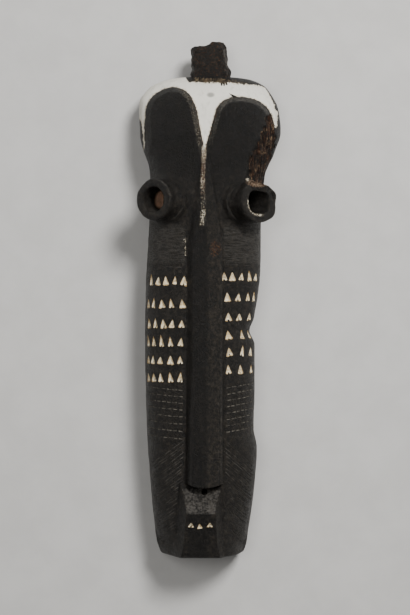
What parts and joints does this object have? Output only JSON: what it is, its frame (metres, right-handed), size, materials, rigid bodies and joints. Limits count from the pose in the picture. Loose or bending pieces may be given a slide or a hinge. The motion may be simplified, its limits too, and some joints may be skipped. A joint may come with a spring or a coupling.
{
  "type": "tube-eyed face mask",
  "caption": "Tall carved wooden face mask with a trough-shaped back, domed head with two raised lobes, tube eyes, long plank nose, small toothed mouth and a peg on the crown.",
  "frame": {"origin": "centre of the bounding box at the level of the back rim, which is what the mask lies on", "axes": "+Y from the chin to the crown and its peg, +Z out of the face, +X to the right of a viewer who looks at the face"},
  "size_m": [0.1934, 0.7, 0.1341],
  "materials": {
    "blackened_wood": "smoke-blackened carved hardwood, worn to brown on its edges, with white kaolin on the dome and in the chip-cut marks"
  },
  "bodies": {
    "root": {"mask": "blackened_wood"}
  },
  "joints": []
}
